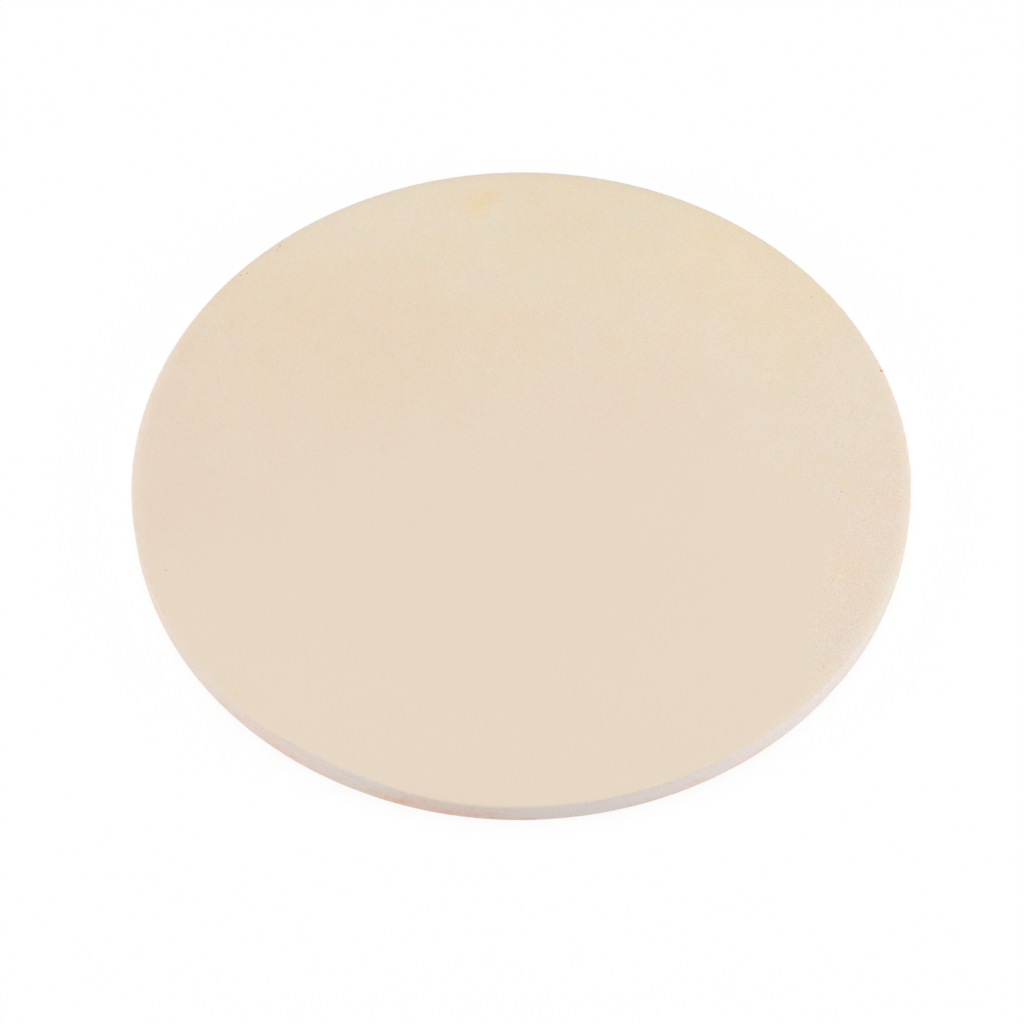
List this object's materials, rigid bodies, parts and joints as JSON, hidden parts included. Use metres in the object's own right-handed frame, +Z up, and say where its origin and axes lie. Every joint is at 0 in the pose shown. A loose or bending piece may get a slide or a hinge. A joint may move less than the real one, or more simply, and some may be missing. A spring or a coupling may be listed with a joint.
{
  "type": "kamado heat deflector",
  "caption": "Flat round plate of fired cream ceramic with eased edges, laid above the coals of a kamado grill to turn direct flame into indirect heat.",
  "frame": {"origin": "centre of the underside, on the plane that the plate rests on", "axes": "+Z up along the plate's axis, from the underside to the top face; X and Y lie in the underside, with -Y towards the viewer of the picture"},
  "size_m": [0.38, 0.38, 0.012],
  "materials": {
    "fired_clay": "unglazed, dry and matt, with a fine sandy grain and scattered iron specks; greyer and coarser on the rim"
  },
  "bodies": {
    "root": {"deflector_plate": "fired_clay"}
  },
  "joints": []
}
